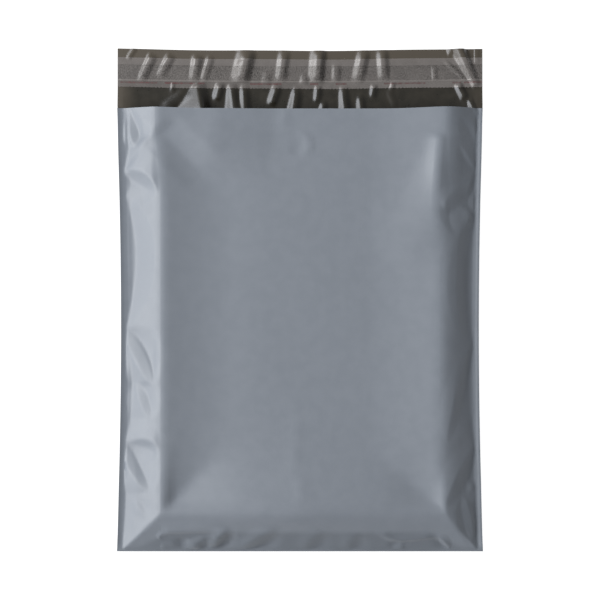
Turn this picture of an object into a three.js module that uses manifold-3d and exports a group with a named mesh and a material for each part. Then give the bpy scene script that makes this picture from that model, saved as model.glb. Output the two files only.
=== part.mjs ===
// A poly mailer bag, lying on its back with its flap open and its mouth gaping.
//
// One strip of plastic film is folded across the bottom, welded down both sides, and left open
// at the mouth, where the back runs on as the flap. The flap carries a band of hot-melt glue
// under a peel-off release liner. Both walls bulge: the front stands on two long ridges, one
// beside each side weld, and sags between them, most of all at the mouth.
//
// Millimetres. X runs across the bag, Y from the bottom fold to the flap's edge, and +Z out of
// the front. The origin is on the surface that the bag lies on, under the middle of its length.
import * as THREE from "three";
import { mergeVertices } from "three/addons/utils/BufferGeometryUtils.js";
import Module from "manifold-3d";

const wasm = await Module();
wasm.setup();

// ---- driving dimensions ----
const WIDTH = 229; // over the side welds, laid flat
const LENGTH = 315; // bottom fold to flap edge
const FLAP = 36; // mouth to flap edge
const FILM = 0.5; // wall as drawn; the film itself is 0.06
const WELD = 3.5; // width of each side weld
const FOLD_LIP = 1; // the walls lie together this far in from the bottom fold
const THICKNESS = 18.5; // overall, at the ridges
const SLOPE = 25; // from a weld, or the bottom fold, up to the ridge
const PULL_IN = 2; // how far each side is drawn in halfway along the pouch
const WELD_HEIGHT = 7.5; // middle of the weld above the surface
const SAG = 3; // of the front between its ridges
const MOUTH_SAG = 8.5; // the same at the mouth
const GLUE_WIDTH = 9;
const LINER_WIDTH = 18.5;
const GLUE_INSET = 10; // flap edge to glue
const LINER_INSET = 5.5; // flap edge to liner
const TACKED = 0.25; // thickness of the glue, and of the liner, as drawn

// ---- places worked out from them ----
const HALF = WIDTH / 2;
const FOLD_Y = -LENGTH / 2;
const EDGE_Y = LENGTH / 2;
const MOUTH_Y = EDGE_Y - FLAP;
const RIDGE_Y = FOLD_Y + SLOPE;
const FLAP_FLAT_Y = MOUTH_Y + 8; // the flap lies flat from here on
const RIDGE_HEIGHT = THICKNESS - FILM / 2; // middle of the film
const FLOOR = FILM / 2; // middle of the film where it lies on the surface
const FLAT_HALF = 42; // half the width of the flat middle of the front
const RIDGE_FLARE = 4; // the ridges run this much further apart at the mouth

const GREY_FILM = { color: 0x82868f, roughness: 0.42, metalness: 0 };
const CLEAR_GLUE = { color: 0x6b645c, roughness: 0.5, metalness: 0 };
const CLEAR_LINER = { color: 0x8d8783, roughness: 0.25, metalness: 0 };

const clamp01 = (t) => THREE.MathUtils.clamp(t, 0, 1);
const ease = (t) => THREE.MathUtils.smoothstep(t, 0, 1);
const between = (low, high, count) =>
  Array.from({ length: count }, (_, i) => THREE.MathUtils.lerp(low, high, i / count));

// Half the bag's width at y: full at the fold and the mouth, and drawn in between them.
function halfWidth(y) {
  return HALF - PULL_IN * Math.sin(Math.PI * clamp01((y - FOLD_Y) / (MOUTH_Y - FOLD_Y)));
}

// Distance from the centre line to the ridge at y.
function ridgeX(y) {
  const flare = RIDGE_FLARE * ease((y - 60) / (MOUTH_Y - 60));
  return HALF - WELD - SLOPE + flare;
}

// 0 on the welds and the fold, and 1 from the ridges inwards.
function rise(x, y) {
  const inside = halfWidth(y) - WELD;
  const across = (inside - Math.abs(x)) / (inside - ridgeX(y));
  const along = (y - FOLD_Y - FOLD_LIP) / (SLOPE - FOLD_LIP);
  return clamp01(Math.min(across, along));
}

// Height of the welds and the fold at y: they come down to the surface past the mouth.
function weldHeight(y) {
  const lowered = ease((y - 70) / (FLAP_FLAT_Y - 70));
  return THREE.MathUtils.lerp(WELD_HEIGHT, FLOOR, lowered);
}

function frontHeight(x, y) {
  const weld = weldHeight(y);
  const sag = THREE.MathUtils.lerp(SAG, MOUTH_SAG, ease((y - 30) / (MOUTH_Y - 30)));
  const towardsMiddle = ease((ridgeX(y) - Math.abs(x)) / (ridgeX(y) - FLAT_HALF));
  const awayFromFold = ease((y - RIDGE_Y) / 25);
  const top = RIDGE_HEIGHT - sag * towardsMiddle * awayFromFold;
  return weld + (top - weld) * rise(x, y);
}

function backHeight(x, y) {
  const weld = weldHeight(y);
  return weld + (FLOOR - weld) * rise(x, y);
}

// Where the film's grid lines stand across the bag, as shares of the way from the centre line to
// the ridge (0 to 1), on to the inside of the weld (2), and on to its edge (3). A slope has as
// many lines across as along, so each corner's crease runs from grid point to grid point.
const SLOPE_LINES = 3;
const ACROSS = [0, 0.25, 0.49, 0.74, 0.93, ...between(1, 2, SLOPE_LINES), 2, 3];
const LINES_ACROSS = [...ACROSS.slice(1).reverse().map((share) => -share), ...ACROSS];

function lineX(share, y) {
  const stops = [0, ridgeX(y), halfWidth(y) - WELD, halfWidth(y)];
  const stretch = Math.min(Math.floor(Math.abs(share)), 2);
  const part = Math.abs(share) - stretch;
  return Math.sign(share) * THREE.MathUtils.lerp(stops[stretch], stops[stretch + 1], part);
}

const POUCH_LINES = [
  FOLD_Y,
  ...between(FOLD_Y + FOLD_LIP, RIDGE_Y, SLOPE_LINES),
  ...between(RIDGE_Y, 30, 6),
  ...between(30, MOUTH_Y, 6),
  MOUTH_Y,
];
const FLAP_LINES = [...between(MOUTH_Y + 4, FLAP_FLAT_Y, 1), FLAP_FLAT_Y, EDGE_Y];

// Splits each face of the grid along the diagonal that falls towards its nearer bottom corner,
// so the creases there are straight, and the bag's two sides are alike.
function creaseTowardsCorners(sheet) {
  const place = sheet.getAttribute("position");
  const index = sheet.index.array;
  for (let i = 0; i < index.length; i += 6) {
    const [a, b, d, , c] = index.subarray(i, i + 6);
    const along = place.getY(d) - place.getY(b);
    const across = place.getX(d) - place.getX(b);
    const side = place.getX(d) + place.getX(b);
    if (along * across * side > 0) index.set([a, b, c, a, c, d], i);
  }
}

// A sheet of film over the grid lines, whose middle is at height(x, y).
function filmSheet(linesAlong, height) {
  const columns = LINES_ACROSS.length - 1;
  const rows = linesAlong.length - 1;
  const sheet = new THREE.BoxGeometry(1, 1, 1, columns, rows, 1);
  const place = sheet.getAttribute("position");
  for (let i = 0; i < place.count; i++) {
    const share = LINES_ACROSS[Math.round((place.getX(i) + 0.5) * columns)];
    const y = linesAlong[Math.round((place.getY(i) + 0.5) * rows)];
    const x = lineX(share, y);
    place.setXYZ(i, x, y, height(x, y) + FILM * place.getZ(i));
  }
  creaseTowardsCorners(sheet);
  return sheet;
}

function solidOf(geometry) {
  const shape = geometry.clone();
  shape.deleteAttribute("normal");
  shape.deleteAttribute("uv");
  const merged = mergeVertices(shape, 1e-4);
  return new wasm.Manifold(
    new wasm.Mesh({
      numProp: 3,
      vertProperties: merged.getAttribute("position").array,
      triVerts: new Uint32Array(merged.index.array),
    }),
  );
}

function geometryOf(solid) {
  const { vertProperties, triVerts } = solid.getMesh();
  const geometry = new THREE.BufferGeometry();
  geometry.setAttribute("position", new THREE.BufferAttribute(vertProperties, 3));
  geometry.setIndex(new THREE.BufferAttribute(triVerts, 1));
  geometry.computeVertexNormals();
  return geometry;
}

function named(name, geometry, finish) {
  const mesh = new THREE.Mesh(geometry, new THREE.MeshStandardMaterial(finish));
  mesh.name = name;
  return mesh;
}

// The front and back walls share their film along both welds and the bottom fold, so joining
// them leaves one pouch, open at the mouth, with the flap running on from its back wall.
function filmBag() {
  const front = solidOf(filmSheet(POUCH_LINES, frontHeight));
  const back = solidOf(filmSheet([...POUCH_LINES, ...FLAP_LINES], backHeight));
  return named("film_bag", geometryOf(front.add(back)), GREY_FILM);
}

// A band that lies flat on the flap, right across the bag.
function flapBand(name, inset, width, standsOn, finish) {
  const band = named(name, new THREE.BoxGeometry(WIDTH, width, TACKED), finish);
  band.position.set(0, EDGE_Y - inset - width / 2, standsOn + TACKED / 2);
  return band;
}

const mailer = new THREE.Group();
mailer.add(filmBag());
mailer.add(flapBand("adhesive_strip", GLUE_INSET, GLUE_WIDTH, FILM, CLEAR_GLUE));
mailer.add(flapBand("release_liner", LINER_INSET, LINER_WIDTH, FILM + TACKED, CLEAR_LINER));

export default mailer;
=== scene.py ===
"""A grey poly mailer bag lying on its back: one folded and welded film, a glue band and its liner.

The film is a single strip. It starts at the mouth, runs down the front to the bottom fold, comes
back up underneath and goes on past the mouth as the flap, grey on the outside and black-brown on
the inside. Heights are worked out in millimetres and written to the meshes in metres.
"""
import logging
import math
from dataclasses import dataclass, field
from enum import Enum

import bmesh
import bpy
import numpy as np
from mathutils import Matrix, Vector
from numpy.typing import NDArray


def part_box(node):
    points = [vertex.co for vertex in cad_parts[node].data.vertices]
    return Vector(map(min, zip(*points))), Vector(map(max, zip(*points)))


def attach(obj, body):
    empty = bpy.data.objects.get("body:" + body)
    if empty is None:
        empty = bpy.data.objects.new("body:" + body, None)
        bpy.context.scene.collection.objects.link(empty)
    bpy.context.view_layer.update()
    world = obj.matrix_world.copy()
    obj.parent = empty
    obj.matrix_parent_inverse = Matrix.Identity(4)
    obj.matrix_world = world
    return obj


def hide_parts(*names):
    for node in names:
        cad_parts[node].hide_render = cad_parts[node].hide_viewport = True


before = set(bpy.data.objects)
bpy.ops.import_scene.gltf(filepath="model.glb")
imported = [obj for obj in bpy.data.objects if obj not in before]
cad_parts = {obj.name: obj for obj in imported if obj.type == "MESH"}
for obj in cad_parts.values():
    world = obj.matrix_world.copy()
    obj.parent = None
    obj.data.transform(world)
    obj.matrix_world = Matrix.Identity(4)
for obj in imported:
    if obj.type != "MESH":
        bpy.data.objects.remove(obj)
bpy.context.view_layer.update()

LOG = logging.getLogger("mailer")
MM = 0.001
DRAWN_BACK = 1.3  # millimetres: how far its folds draw the middle of the flap's edge back
SHARP_ANGLE = math.radians(50.0)  # edges that turn more than this are not smoothed over
Numbers = NDArray[np.float64]
Point = tuple[float, float]
Pair = tuple[float, float]
Colour = tuple[float, float, float]
Socket = bpy.types.NodeSocket
Inputs = dict[str | int, object]


class Slot(Enum):
    """The record's material slots."""

    FILM = "grey_film"
    GLUE = "glue"
    LINER = "clear_liner"


# ---- curves ----


def ease(t: Numbers) -> Numbers:
    """Goes smoothly from 0 at t = 0 to 1 at t = 1."""
    t = np.clip(t, 0.0, 1.0)
    return t * t * (3.0 - 2.0 * t)


def ramp(value: Numbers, start: Numbers | float, end: Numbers | float) -> Numbers:
    """Goes smoothly from 0 to 1 between two values.

    Args:
        value: What it goes by.
        start: Where it starts from 0.
        end: Where it reaches 1, above the start or below it.

    Returns:
        The share of the way.
    """
    return ease((value - start) / (end - start))


def mix(low: Numbers | float, high: Numbers | float, t: Numbers) -> Numbers:
    """Blends two values.

    Args:
        low: The value at t = 0.
        high: The value at t = 1.
        t: Share of the way.

    Returns:
        The blended values.
    """
    return low + (high - low) * t


def rounded_min(a: Numbers | float, b: Numbers | float, width: Numbers | float) -> Numbers:
    """The lower of two slopes, with the corner between them rounded off.

    Args:
        a: First height.
        b: Second height.
        width: How far apart the two may be and still be rounded.

    Returns:
        The rounded lower envelope.
    """
    share = np.clip(0.5 + 0.5 * (b - a) / width, 0.0, 1.0)
    return mix(b, a, share) - width * share * (1.0 - share)


@dataclass(frozen=True)
class Fold:
    """A line in the film, which may be bowed, most of all at its waist. Millimetres.

    Left is the side on the left of the way from start to end, and the line bows to the left.
    """

    start: Point
    end: Point
    bow: float = field(default=0.0, kw_only=True)
    waist: float = field(default=0.5, kw_only=True)

    def height(self, x: Numbers, y: Numbers) -> Numbers:
        """How far the fold lifts the film: each kind of fold has its own answer.

        Args:
            x: Places across the bag.
            y: Places along the bag.

        Returns:
            The lift at each place.
        """
        raise NotImplementedError

    def beside(self, x: Numbers, y: Numbers) -> tuple[Numbers, Numbers, Numbers]:
        """Where places stand beside the line.

        Args:
            x: Places across the bag.
            y: Places along the bag.

        Returns:
            The share of the way along, the fullness (0 at both ends and 1 at the waist), and the
            distance to the left of the bowed line.
        """
        way = np.subtract(self.end, self.start)
        length = math.hypot(*way)
        from_x, from_y = x - self.start[0], y - self.start[1]
        along = (from_x * way[0] + from_y * way[1]) / length**2
        skewed = np.clip(along, 0.0, 1.0) ** (math.log(0.5) / math.log(self.waist))
        fullness = 4.0 * skewed * (1.0 - skewed)
        return along, fullness, (from_y * way[0] - from_x * way[1]) / length - self.bow * fullness


@dataclass(frozen=True)
class Crease(Fold):
    """A crest, or a valley where its lift is negative, with a slope on each side of it.

    The slopes reach as far as left and right say. The values named for the end hold there, where
    they differ from those at the start. It fades in and out over a share of its length.
    """

    lift: float
    left: float
    right: float
    end_lift: float | None = None
    end_left: float | None = None
    end_right: float | None = None
    fade: Pair = (0.25, 0.25)
    rounding: float = 0.5
    power: float = 1.0
    soft: bool = False

    def height(self, x: Numbers, y: Numbers) -> Numbers:
        """How far the crease lifts the film.

        Args:
            x: Places across the bag.
            y: Places along the bag.

        Returns:
            The lift at each place.
        """
        along, fullness, off = self.beside(x, y)
        share = np.clip(along, 0.0, 1.0)
        left = mix(self.left, self.left if self.end_left is None else self.end_left, share)
        right = mix(self.right, self.right if self.end_right is None else self.end_right, share)
        lift = mix(self.lift, self.lift if self.end_lift is None else self.end_lift, share)
        of_reach, of_lift = self.taper(along, fullness)
        reach = np.where(off > 0.0, left, right) * of_reach
        distance = np.sqrt(off * off + self.rounding**2) - self.rounding
        profile = np.clip(1.0 - distance / reach, 0.0, 1.0) ** self.power
        return lift * of_lift * (ease(profile) if self.soft else profile)

    def taper(self, along: Numbers, fullness: Numbers) -> tuple[Numbers | float, Numbers]:
        """How the crease runs out at its ends.

        Args:
            along: Shares of the way along.
            fullness: 0 at both ends and 1 at the waist.

        Returns:
            What is left of its reach, and of its lift.
        """
        return 1.0, ease(along / self.fade[0]) * ease((1.0 - along) / self.fade[1])


@dataclass(frozen=True)
class Sliver(Crease):
    """A crease that is widest at its waist and runs out to a point at both ends."""

    def taper(self, along: Numbers, fullness: Numbers) -> tuple[Numbers | float, Numbers]:
        """How the sliver runs out at its ends.

        Args:
            along: Shares of the way along.
            fullness: 0 at both ends and 1 at the waist.

        Returns:
            What is left of its reach, and of its lift.
        """
        size = np.maximum(fullness, 0.02)
        return np.sqrt(size), size**0.7 * ((along > 0.0) & (along < 1.0))


@dataclass(frozen=True)
class Pucker(Crease):
    """A crease whose crest, sides and feet are all rounded."""

    soft: bool = True


@dataclass(frozen=True)
class FlapFold(Pucker):
    """A pucker of the whole flap, rounder because the glue and the liner bend with it."""

    rounding: float = 0.9


@dataclass(frozen=True)
class Leaf(Fold):
    """A leaf-shaped facet that slopes more or less than the film around it.

    It is widest at its waist. Its left edge lies lower than its right one by the drop, or higher
    where the drop is negative. The left edge is crisp, and the right one is softer the more it
    melts. The film around it takes up the difference within its reach. Its ends are the sharper
    the more pointed it is.
    """

    width: float
    drop: float
    reach: float = 6.0
    melts: float = 1.0
    pointed: float = 0.5

    def height(self, x: Numbers, y: Numbers) -> Numbers:
        """How far the facet lifts the film.

        Args:
            x: Places across the bag.
            y: Places along the bag.

        Returns:
            The lift at each place.
        """
        along, fullness, off = self.beside(x, y)
        size = np.maximum(fullness, 0.001) ** self.pointed
        half = self.width / 2 * size
        inside = 2.0 * (0.5 + 0.5 * np.clip(off / half, -1.0, 1.0)) ** self.melts - 1.0
        outside = np.clip(1.0 - np.maximum(np.abs(off) - half, 0.0) / (self.reach * size), 0.0, 1.0)
        return -self.drop / 2 * fullness**0.9 * inside * outside * ((along > 0.0) & (along < 1.0))


def lifted(folds: tuple[Fold, ...], x: Numbers, y: Numbers) -> Numbers:
    """Adds up how far several folds lift the film.

    Args:
        folds: The creases and leaves.
        x: Places across the bag.
        y: Places along the bag.

    Returns:
        The total lift at each place.
    """
    return sum((fold.height(x, y) for fold in folds), np.zeros_like(x))


# ---- the creases, each chosen one by one ----

LEFT_SIDE = (
    # Between the pinches the film lies low beside the weld and turns up further in.
    Sliver((-109.9, 124.0), (-109.6, 79.5), -1.5, 10.0, 2.8, bow=2.4, rounding=0.3),
    Sliver((-109.2, 63.5), (-109.2, -17.0), -2.2, 12.0, 7.4, bow=7.0, waist=0.46, rounding=0.7),
    Sliver((-108.8, -20.5), (-109.6, -88.0), -1.5, 12.0, 5.6, bow=5.2, waist=0.54, rounding=0.7),
    Sliver((-109.6, -92.0), (-110.6, -149.0), -0.6, 7.0, 1.8, bow=1.2),
    # A kite under the mouth: a steep bright strip, and a dark flat beside it.
    Leaf((-107.8, 125.0), (-102.8, 96.0), 6.0, 2.6, bow=0.9, waist=0.76, reach=9.0, pointed=0.8),
    Sliver((-109.4, 79.5), (-94.0, 101.5), 0.5, 3.6, 4.4, bow=1.0, waist=0.45, rounding=0.25),
    Leaf((-107.6, 82.5), (-99.0, 93.5), 2.0, 0.45, reach=3.0),
    # The pinch below it: a dark leaf arches from the weld to the ridge.
    Leaf((-109.6, 79.2), (-88.4, 66.0), 8.4, -3.4, bow=2.2, waist=0.42, reach=16.0, melts=1.2),
    Sliver((-109.0, 62.0), (-99.0, 69.0), 0.3, 3.0, 3.4, bow=1.2, rounding=0.3),
    Leaf((-99.0, 65.5), (-98.0, 54.5), 2.6, 0.3, reach=3.0),
    # The pinch below the middle: a long leaf, and a shorter one under it.
    Leaf((-108.8, -19.0), (-91.4, -52.3), 9.2, 3.4, bow=1.4, waist=0.46, reach=14.0, melts=1.1),
    Leaf((-101.4, -52.0), (-93.6, -73.0), 6.0, 1.9, bow=0.7, reach=12.0, melts=1.1),
    # The pinch near the bottom: a soft leaf across to the ridge, and a dark one down the slope.
    Leaf((-105.6, -88.4), (-86.6, -94.4), 6.6, -1.7, bow=2.0, waist=0.55, reach=8.0, melts=1.3),
    Leaf((-109.8, -89.4), (-94.0, -118.6), 7.6, 3.0, bow=-1.2, waist=0.46, reach=15.0, melts=1.1),
    Leaf((-102.4, -124.0), (-95.0, -134.5), 3.4, 0.8, reach=5.0),
)

RIGHT_SIDE = (
    # The slope is steepest halfway down and flattens towards the weld.
    Sliver((109.2, 47.0), (108.2, -28.0), -0.9, 5.4, 12.0, bow=-4.4, rounding=1.2),
    Leaf((102.6, 52.0), (103.2, -30.0), 7.0, 1.0, bow=-2.6, reach=9.0),
    Leaf((107.2, -25.0), (91.6, -88.5), 6.0, 1.2, bow=0.6, waist=0.6, reach=8.0),
    Sliver((108.6, -30.0), (109.6, -88.0), -0.8, 4.6, 9.0, bow=-4.0, rounding=1.0),
    # Facets under the mouth.
    Leaf((100.6, 113.5), (109.6, 98.6), 5.0, -1.2, bow=2.2, reach=6.0),
    Leaf((99.0, 96.0), (109.2, 80.4), 2.6, -0.9, bow=-0.5, reach=5.0),
    Leaf((109.2, 70.0), (109.0, 52.0), 5.0, -1.2, bow=-2.2, reach=5.0),
    Leaf((109.4, 79.6), (104.6, 63.0), 3.4, 0.6, reach=6.0),
    # A pinch on the ridge, with a dark facet above it and a light one below.
    Leaf((104.0, 72.0), (90.4, 55.0), 8.0, 1.4, waist=0.7, reach=7.0),
    Leaf((99.4, 57.4), (97.2, 39.6), 13.0, -1.5, waist=0.3, reach=6.5, pointed=0.75),
    Leaf((106.8, 56.0), (102.4, 45.0), 2.2, 0.4, bow=1.2, reach=4.0),
    # The pinch near the bottom: a steep leaf runs from the weld down to the end of the ridge.
    Leaf((110.4, -91.0), (90.6, -129.0), 8.0, 2.1, bow=0.6, waist=0.48, reach=10.0),
    Sliver((103.6, -113.0), (110.0, -120.0), 0.45, 2.4, 2.6, rounding=0.3),
    Sliver((104.0, -121.0), (110.2, -112.0), 0.35, 2.0, 2.0, rounding=0.3),
    Leaf((101.2, -122.8), (107.4, -150.0), 5.6, -1.5, bow=-0.6, reach=4.0),
    Sliver((91.0, -131.6), (107.8, -155.0), -0.4, 2.6, 2.6, bow=0.8, rounding=0.4),
    Crease((111.6, -156.8), (110.6, -149.5), 0.6, 1.2, 1.6, fade=(0.1, 0.4), rounding=0.2),
)

FRONT_MIDDLE = (
    # Fuller at the bottom, on both sides of a faint crease up the middle.
    Crease((-2.0, -150.0), (-2.0, -50.0), 3.0, 84.0, 84.0, fade=(0.2, 0.8), rounding=5.0),
    Crease((-2.0, -131.0), (-1.4, -104.0), 0.3, 2.2, 10.0, bow=-0.8, fade=(0.4, 0.4)),
    Crease((-3.0, -112.0), (-1.5, -62.0), 0.2, 5.0, 3.0, fade=(0.3, 0.5)),
    # Long soft swells that run in from the ridges.
    Crease((-50.0, 126.0), (-58.0, 66.0), 2.8, 32.0, 30.0, fade=(0.1, 0.6), rounding=4.0),
    Crease((-90.0, 108.0), (-46.0, 64.0), -1.5, 13.0, 12.0, fade=(0.12, 0.6), rounding=1.6),
    Crease(
        (83.0, 34.0), (86.6, 104.0), 3.6, 36.0, 12.0, bow=1.0, end_lift=0.7, end_left=4.0,
        end_right=4.0, fade=(0.7, 0.05), rounding=0.8, power=1.6
    ),
    Crease((85.8, 60.0), (87.0, 104.0), 0.7, 7.0, 15.0, bow=0.8, fade=(0.6, 0.12), rounding=0.6),
    Crease((60.0, 10.0), (80.0, 70.0), 0.9, 26.0, 14.0, fade=(0.5, 0.5), rounding=4.0),
    # Small dents below the middle of the mouth.
    Crease((-11.0, 101.0), (-8.8, 120.0), 0.3, 4.0, 3.4, fade=(0.5, 0.1)),
    Crease((-3.1, 107.4), (0.3, 85.6), 0.5, 2.5, 3.2, bow=7.4, fade=(0.35, 0.35), rounding=0.35),
    Crease((-2.4, 87.0), (-1.8, 100.0), -0.35, 3.5, 3.5, fade=(0.5, 0.5), soft=True),
)

# Each bottom corner of the front draws a valley in from the ends of its ridges.
CORNERS = (
    Crease(
        (-87.0, -133.0), (-44.0, -84.0), -2.7, 12.0, 30.0, end_lift=-0.9, end_left=30.0, fade=(0.03,
        0.6), rounding=1.2
    ),
    Crease(
        (91.0, -132.6), (54.0, -98.0), -2.0, 20.0, 12.0, end_lift=-0.8, end_right=24.0, fade=(0.03,
        0.6), rounding=1.2
    ),
)

BOTTOM_SLOPE = (
    # A lip where the fold has been pressed flat, and short folds that cross it.
    Crease((-88.3, -149.8), (-84.0, -145.0), 0.62, 2.4, 1.6, bow=0.8, fade=(0.3, 0.2), rounding=0.2),
    Crease(
        (-85.0, -145.2), (-44.0, -143.6), 0.94, 7.0, 1.5, bow=0.5, waist=0.3, fade=(0.05, 0.4),
        rounding=0.2
    ),
    Crease((-86.0, -156.6), (-84.6, -150.6), 0.50, 1.4, 1.8, fade=(0.1, 0.5), rounding=0.2),
    Crease((-84.4, -152.6), (-71.0, -153.4), 0.50, 1.6, 1.4, bow=0.5, fade=(0.3, 0.4), rounding=0.2),
    Leaf((-69.6, -147.6), (-71.4, -157.6), 6.4, -3.0, reach=5.0),
    Leaf((-57.0, -147.4), (-64.6, -158.0), 4.4, 3.0, bow=0.4, reach=5.0),
    Leaf((-43.0, -143.2), (-57.0, -158.0), 5.4, 4.5, bow=0.8, waist=0.45, reach=6.0),
    Leaf((-13.0, -143.6), (-38.0, -158.4), 6.6, 3.4, bow=0.6, reach=7.0),
    Leaf((16.0, -145.0), (2.0, -158.2), 7.0, 1.9, reach=8.0),
    Leaf((38.0, -146.0), (29.0, -158.0), 6.0, 1.6, reach=8.0),
    Crease((50.0, -144.6), (59.2, -150.4), 1.00, 3.0, 1.4, bow=-0.4, fade=(0.2, 0.1), rounding=0.18),
    Crease((58.6, -150.2), (84.0, -147.2), 1.00, 4.0, 1.4, bow=-0.6, fade=(0.05, 0.2), rounding=0.18),
    Leaf((61.6, -150.0), (59.6, -156.4), 5.4, -3.8, waist=0.6, reach=1.6),
    Leaf((84.0, -146.6), (93.4, -156.2), 2.6, -1.8, reach=4.0),
)

BACK_WALL = (
    Crease((-110.0, 20.0), (-86.0, 8.0), 1.3, 5.0, 9.0, bow=2.5, fade=(0.1, 0.4)),
    Crease((-109.6, -60.0), (-88.0, -78.0), 1.2, 7.0, 5.0, fade=(0.1, 0.5)),
    Crease((-110.0, 84.0), (-90.0, 92.0), 1.0, 5.0, 7.0, bow=1.5, fade=(0.1, 0.5)),
    Crease((110.0, 66.0), (89.0, 60.0), 1.2, 5.0, 7.0, bow=-2.0, fade=(0.1, 0.4)),
    Crease((109.6, -22.0), (87.0, -34.0), 1.3, 8.0, 5.0, fade=(0.1, 0.5)),
    Crease((110.2, -96.0), (90.0, -118.0), 1.2, 5.0, 6.0, bow=1.5, fade=(0.1, 0.4)),
    Crease((-36.0, -155.0), (-22.0, -138.0), 0.8, 6.0, 5.0, fade=(0.2, 0.5)),
    Crease((48.0, -155.0), (36.0, -140.0), 0.8, 5.0, 6.0, fade=(0.2, 0.5)),
)

# The folds that the whole flap takes, liner and all: crests leaning a little to the right.
FLAP_FOLDS = (
    FlapFold((-101.2, 136.0), (-92.0, 155.0), 1.0, 1.9, 3.6, end_lift=1.5, end_left=2.8, fade=(0.3, 0.22)),
    FlapFold((-89.5, 139.0), (-80.5, 155.0), 0.9, 1.8, 3.6, end_lift=1.4, end_left=2.6, fade=(0.4, 0.22)),
    FlapFold((-67.5, 136.0), (-64.0, 155.0), 0.9, 2.6, 3.6, end_lift=1.9, end_left=3.4, fade=(0.4, 0.22)),
    FlapFold((-61.5, 137.0), (-56.0, 155.0), 0.8, 1.6, 3.2, end_lift=1.0, fade=(0.3, 0.25)),
    FlapFold((-37.5, 135.0), (-31.6, 160.0), 2.8, 7.4, 5.0, end_left=7.0, end_lift=3.4, fade=(0.3, 0.35)),
    FlapFold((-12.5, 136.0), (-9.4, 160.0), 1.4, 3.6, 3.8, end_lift=1.7, fade=(0.3, 0.4)),
    FlapFold((-22.0, 134.0), (-20.0, 146.0), 0.5, 2.8, 3.0, fade=(0.4, 0.5)),
    FlapFold((10.5, 135.0), (12.8, 161.0), 2.6, 6.0, 4.0, end_lift=2.8, fade=(0.3, 0.3)),
    FlapFold((1.5, 135.0), (3.6, 144.0), 0.7, 2.4, 3.0, fade=(0.4, 0.5)),
    FlapFold((22.4, 136.0), (22.8, 151.0), 0.8, 2.4, 3.0, fade=(0.4, 0.4)),
    FlapFold((35.6, 135.0), (41.0, 160.0), 1.7, 4.2, 4.0, end_lift=1.9, fade=(0.4, 0.35)),
    FlapFold((53.0, 136.0), (51.2, 160.0), 1.5, 3.6, 3.8, fade=(0.35, 0.3)),
    FlapFold((84.4, 137.0), (83.8, 148.0), 0.5, 1.1, 2.0, fade=(0.3, 0.3)),
    FlapFold((111.0, 132.5), (99.0, 161.0), 0.9, 1.5, 3.4, end_lift=3.9, end_left=7.0, fade=(0.1, 0.01)),
    FlapFold((105.5, 137.0), (89.0, 151.8), 0.5, 1.1, 1.2, fade=(0.3, 0.3)),
    FlapFold((95.2, 153.0), (93.0, 160.0), 0.9, 1.7, 1.4, fade=(0.4, 0.05)),
    FlapFold((110.4, 146.0), (110.4, 160.0), 0.35, 0.8, 2.4, fade=(0.3, 0.01)),
    FlapFold((-108.8, 150.5), (-103.2, 159.0), 0.55, 0.9, 1.8, fade=(0.25, 0.01)),
)

# The puckers of the bare film between the mouth and the liner.
MOUTH_PUCKERS = (
    Crease(
        (-59.4, 112.0), (-64.8, 137.5), 10.4, 27.0, 5.0, end_lift=0.6, end_left=1.8, fade=(0.05, 0.1),
        rounding=0.6, power=1.1
    ),
    Pucker((-52.6, 124.5), (-49.4, 138.0), 1.6, 3.4, 3.0, fade=(0.3, 0.3)),
    Pucker((-39.6, 112.0), (-43.6, 138.0), 4.0, 9.0, 4.0, end_lift=0.9, end_left=2.0, fade=(0.05, 0.2)),
    Pucker((-34.0, 112.0), (-35.6, 137.5), 3.6, 6.6, 4.0, end_lift=0.8, end_left=1.8, fade=(0.05, 0.25)),
    Pucker((-18.5, 121.0), (-13.4, 137.0), 1.7, 3.6, 3.2, fade=(0.3, 0.3)),
    Pucker((-4.8, 112.0), (-1.8, 137.0), 2.8, 5.4, 4.0, end_lift=1.0, end_left=2.2, fade=(0.05, 0.3)),
    Pucker((10.4, 123.0), (11.6, 137.0), 1.2, 2.4, 2.6, fade=(0.35, 0.3)),
    Pucker((14.0, 112.0), (15.0, 126.5), 1.8, 4.0, 2.6, end_lift=0.9, end_left=2.0, fade=(0.05, 0.3)),
    Pucker((29.4, 112.0), (26.4, 137.0), 2.7, 5.4, 4.0, end_lift=0.9, end_left=1.9, fade=(0.05, 0.25)),
    Pucker((39.4, 112.0), (37.2, 131.5), 2.0, 4.0, 3.0, end_lift=0.9, end_left=1.8, fade=(0.05, 0.4)),
    Pucker((45.4, 126.0), (46.6, 137.0), 1.1, 2.1, 2.4, fade=(0.4, 0.3)),
    Pucker((57.0, 131.0), (58.6, 138.0), 0.7, 1.5, 2.0, fade=(0.4, 0.4)),
    Pucker((60.5, 119.0), (54.5, 134.0), 0.4, 1.8, 3.0, fade=(0.3, 0.3)),
    Pucker((104.4, 125.0), (98.4, 137.0), 1.5, 3.2, 2.8, fade=(0.3, 0.25)),
    Pucker((110.4, 114.0), (106.0, 127.5), 1.2, 2.4, 2.0, fade=(0.1, 0.4)),
    Pucker((-88.0, 118.0), (-68.0, 133.0), 0.8, 5.0, 5.0, fade=(0.3, 0.4)),
    Pucker((-80.6, 130.0), (-79.4, 138.0), 0.5, 1.2, 1.6, fade=(0.3, 0.4)),
)


# ---- the shape of the bag ----


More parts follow.
